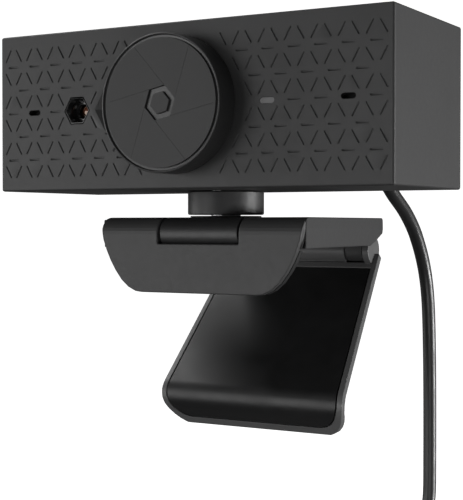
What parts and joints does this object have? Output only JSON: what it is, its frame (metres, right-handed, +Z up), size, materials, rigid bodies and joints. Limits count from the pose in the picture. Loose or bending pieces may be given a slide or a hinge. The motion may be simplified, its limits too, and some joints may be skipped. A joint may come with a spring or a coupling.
{
  "type": "webcam on monitor clip",
  "caption": "Bar-shaped USB webcam with a round sliding privacy cover, a swivelling and tilting neck and a folding monitor clip.",
  "frame": {"origin": "the middle of the clip's seat pad underside, the face that rests on the top edge of a screen", "axes": "+X along the camera bar to the right as the bar is seen from its front, +Y from the front panel to the back, +Z up"},
  "size_m": [0.1, 0.1049, 0.2132],
  "materials": {
    "head_plastic": "fine matt moulded plastic, dark grey",
    "dark_plastic": "matt moulded plastic, near black",
    "gloss_black": "glossy black plastic",
    "rubber_black": "matt black rubber",
    "cable_jacket": "satin black cable jacket",
    "steel": "bright steel",
    "lens_glass": "coated glass",
    "board_green": "solder-masked circuit board",
    "chip_black": "black moulded chip package",
    "connector_ivory": "ivory connector plastic",
    "light_guide": "translucent grey light guide",
    "led_white": "white light-emitting chip",
    "mic_metal": "plated microphone can",
    "tongue_white": "white connector tongue"
  },
  "bodies": {
    "clip": {"clip_frame": "head_plastic", "jaw_liner": "rubber_black", "seat_pad": "rubber_black", "tilt_pin": "steel", "hinge_pin": "steel"},
    "tilt_arm": {"tilt_plate": "dark_plastic", "swivel_ring": "rubber_black", "swivel_post": "steel", "wave_washer": "steel", "swivel_nut": "steel"},
    "head": {"front_housing": "head_plastic", "rear_cover": "head_plastic", "neck_collar": "dark_plastic", "lens_holder": "dark_plastic", "lens_barrel": "dark_plastic", "lens_bezel": "gloss_black", "mic_gasket_left": "rubber_black", "mic_gasket_right": "rubber_black", "cable_tie": "rubber_black", "mic_screen_left": "rubber_black", "mic_screen_right": "rubber_black", "usb_cable": "cable_jacket", "cable_coil": "cable_jacket", "plug_lead": "cable_jacket", "inner_lead": "cable_jacket", "cable_gland": "cable_jacket", "plug_grip": "cable_jacket", "plug_shell": "steel", "housing_screw_1": "steel", "housing_screw_2": "steel", "housing_screw_3": "steel", "housing_screw_4": "steel", "board_screw_1": "steel", "board_screw_2": "steel", "board_screw_3": "steel", "board_screw_4": "steel", "front_lens": "lens_glass", "rear_lens": "lens_glass", "main_board": "board_green", "image_processor": "chip_black", "image_sensor": "chip_black", "cable_header": "connector_ivory", "light_pipe": "light_guide", "status_led": "led_white", "microphone_left": "mic_metal", "microphone_right": "mic_metal", "plug_tongue": "tongue_white"},
    "cover": {"cover_disc": "head_plastic", "cover_inlay": "head_plastic", "cover_slider": "dark_plastic"},
    "leg": {"leg_plate": "dark_plastic", "leg_pad": "rubber_black"}
  },
  "joints": [
    {"name": "tilt", "type": "hinge", "parent": "clip", "child": "tilt_arm", "pos_m": [0, -0.0112, 0.0036], "axis": [1, 0, 0], "range_deg": [0, 90]},
    {"name": "swivel", "type": "hinge", "parent": "tilt_arm", "child": "head", "pos_m": [0, -0.00215, 0.00786], "axis": [0, 0, 1], "range_deg": [-180, 180]},
    {"name": "cover_slide", "type": "slide", "parent": "head", "child": "cover", "axis": [-1, 0, 0], "range_m": [0, 0.016]},
    {"name": "leg_fold", "type": "hinge", "parent": "clip", "child": "leg", "pos_m": [0, 0.0366, -0.0008], "axis": [1, 0, 0], "range_deg": [-46, 62]}
  ]
}
